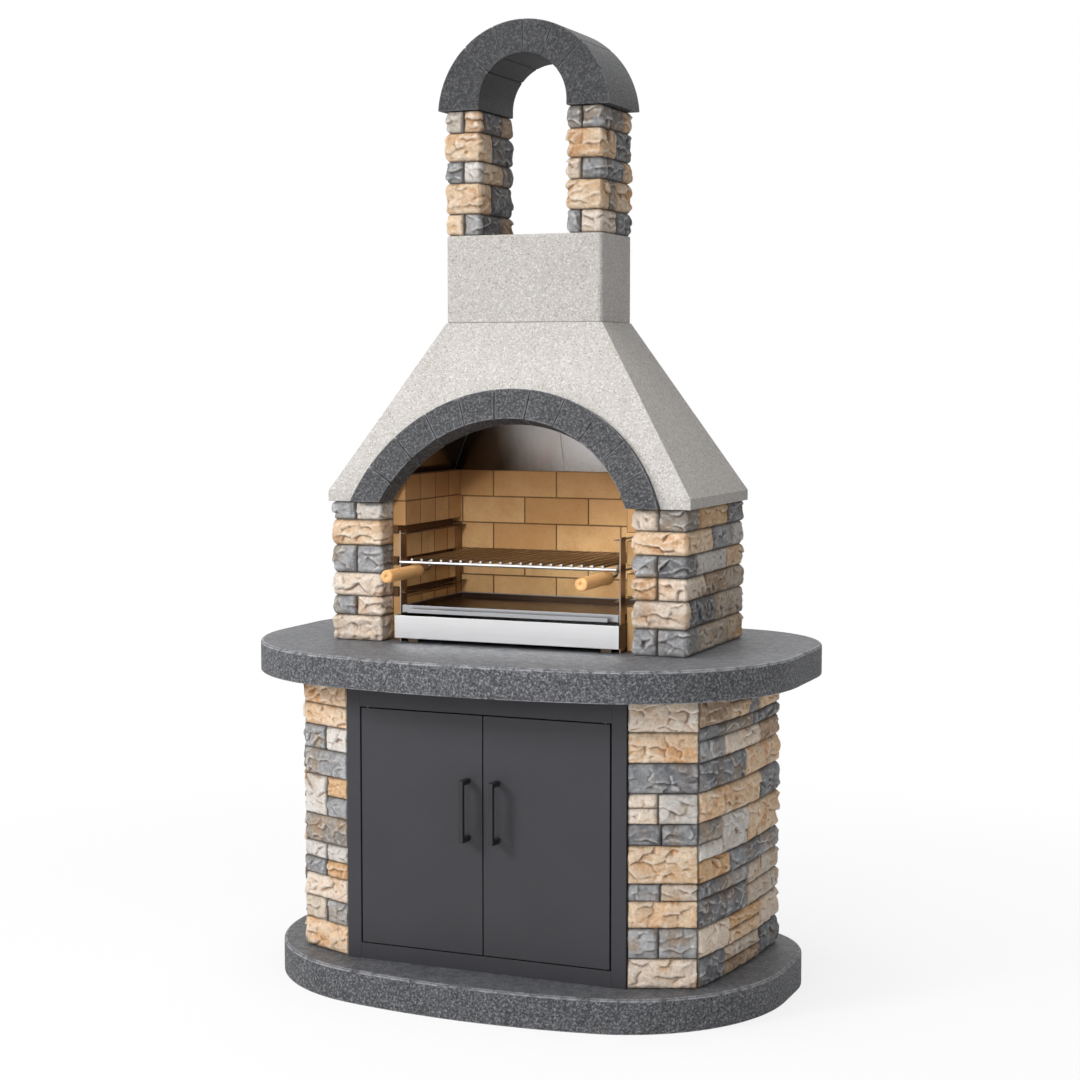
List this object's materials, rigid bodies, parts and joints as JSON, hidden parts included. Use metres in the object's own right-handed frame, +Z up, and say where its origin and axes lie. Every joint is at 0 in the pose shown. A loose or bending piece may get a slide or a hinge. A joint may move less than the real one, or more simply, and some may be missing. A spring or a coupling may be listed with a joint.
{
  "type": "masonry barbecue",
  "caption": "Garden barbecue of split stone and cast concrete with a hooded fire chamber, cooking grid, charcoal tray, oval worktop, arched chimney and a cabinet with doors below.",
  "frame": {"origin": "on the ground, under the middle of the worktop", "axes": "+Z up, -Y out of the front with the cabinet doors and the fire chamber's mouth, +X to the right as seen from the front"},
  "size_m": [1.29, 0.856, 2.2],
  "materials": {
    "anthracite_concrete": "cast concrete, dark and speckled, worn arrises",
    "light_concrete": "cast concrete, light grey with fine tan and dark grains",
    "split_stone": "split faces in tan, cream, grey and blue-grey",
    "firebrick": "matt firebrick with fine joints",
    "cabinet_paint": "satin anthracite powder coat",
    "black_paint": "satin black powder coat",
    "stainless": "stainless sheet and wire",
    "turned_wood": "turned beech, oiled"
  },
  "bodies": {
    "masonry": {"plinth_left": "anthracite_concrete", "plinth_right": "anthracite_concrete", "worktop_left": "anthracite_concrete", "worktop_right": "anthracite_concrete", "hood_arch_stones": "anthracite_concrete", "chimney_arch_stones": "anthracite_concrete", "hood": "light_concrete", "chimney_block": "light_concrete", "base_back_panel": "light_concrete", "firebox_back_panel": "light_concrete", "base_stones_left": "split_stone", "base_stones_right": "split_stone", "pillar_stones_left": "split_stone", "pillar_stones_right": "split_stone", "chimney_stones_left": "split_stone", "chimney_stones_right": "split_stone", "side_firebricks_left": "firebrick", "side_firebricks_right": "firebrick", "back_firebricks": "firebrick", "frame_stile_left": "cabinet_paint", "frame_stile_right": "cabinet_paint", "frame_top_rail": "cabinet_paint", "frame_bottom_rail": "cabinet_paint", "door_magnets": "black_paint", "door_pivot_pins": "stainless", "hood_liner_back_left": "stainless", "hood_liner_back_right": "stainless", "hood_liner_side_left": "stainless", "hood_liner_side_right": "stainless", "insert_posts": "stainless", "insert_rails": "stainless", "drawer_runners": "stainless"},
    "door_left": {"door_left": "cabinet_paint", "door_handle_left": "black_paint", "handle_screws_left": "stainless"},
    "door_right": {"door_right": "cabinet_paint", "door_handle_right": "black_paint", "handle_screws_right": "stainless"},
    "ash_drawer": {"ash_drawer": "stainless"},
    "charcoal_tray": {"charcoal_tray": "stainless"},
    "cooking_grid": {"cooking_grid": "stainless", "grid_handle_stems": "stainless", "grid_handle_left": "turned_wood", "grid_handle_right": "turned_wood"}
  },
  "joints": [
    {"name": "door_left_hinge", "type": "hinge", "parent": "masonry", "child": "door_left", "pos_m": [-0.288, -0.25, 0.385], "axis": [0, 0, -1], "range_deg": [0, 110]},
    {"name": "door_right_hinge", "type": "hinge", "parent": "masonry", "child": "door_right", "pos_m": [0.288, -0.25, 0.385], "axis": [0, 0, 1], "range_deg": [0, 110]},
    {"name": "ash_drawer_slide", "type": "slide", "parent": "masonry", "child": "ash_drawer", "axis": [0, -1, 0], "range_m": [0, 0.24]},
    {"name": "charcoal_tray_slide", "type": "slide", "parent": "masonry", "child": "charcoal_tray", "axis": [0, -1, 0], "range_m": [0, 0.24]},
    {"name": "cooking_grid_slide", "type": "slide", "parent": "masonry", "child": "cooking_grid", "axis": [0, -1, 0], "range_m": [0, 0.25]}
  ]
}
